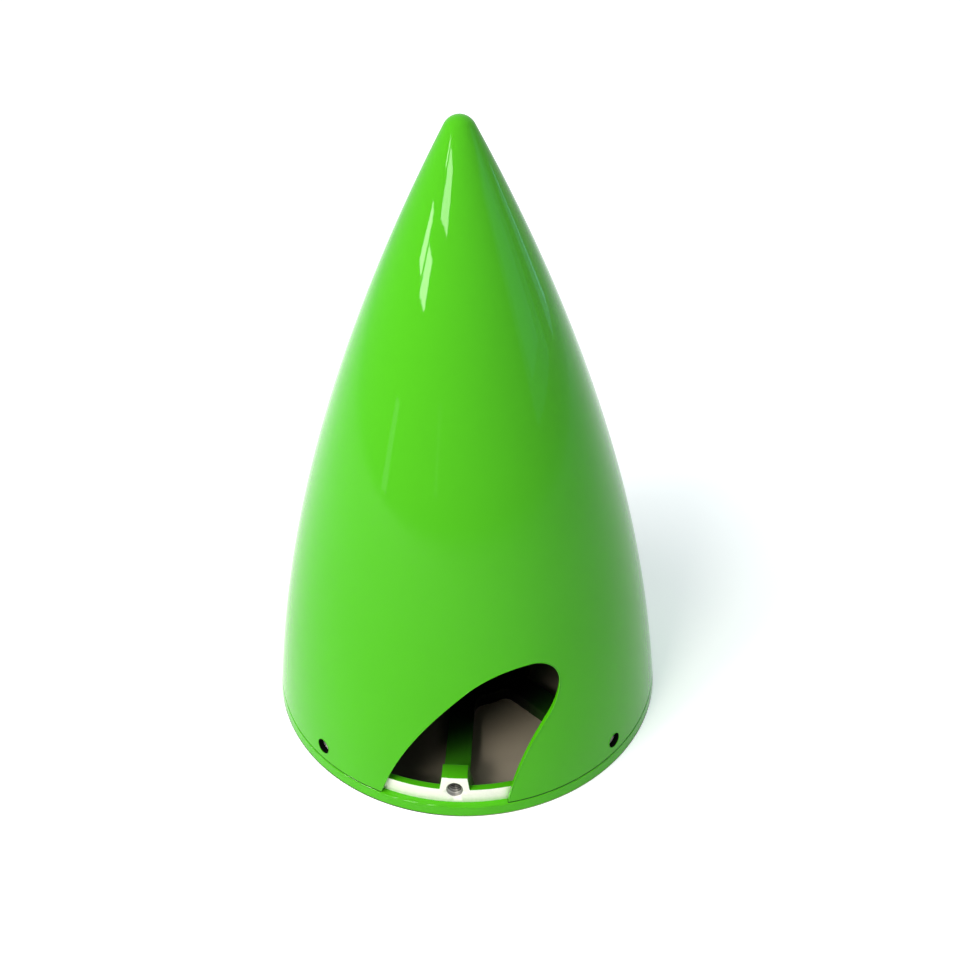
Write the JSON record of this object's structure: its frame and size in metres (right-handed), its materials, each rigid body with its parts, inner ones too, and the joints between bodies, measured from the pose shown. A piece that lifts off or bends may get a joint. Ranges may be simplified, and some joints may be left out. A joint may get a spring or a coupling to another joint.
{
  "type": "propeller spinner",
  "caption": "Pointed ogive spinner shell with leaf-shaped blade windows, seated on a spoked, bored backplate with drilled and tapped screw bosses.",
  "frame": {"origin": "centre of the backplate's rear face, on the propeller axis", "axes": "+Z along the propeller axis towards the pointed nose, -Y out through one blade window and +Y through the other"},
  "size_m": [0.1142, 0.1142, 0.1622],
  "materials": {
    "shell_paint": "glossy lime green lacquer over moulded composite",
    "backplate_paint": "glossy lime green lacquer over machined aluminium, bare where the shell seats"
  },
  "bodies": {
    "root": {"spinner_shell": "shell_paint", "backplate": "backplate_paint"}
  },
  "joints": []
}
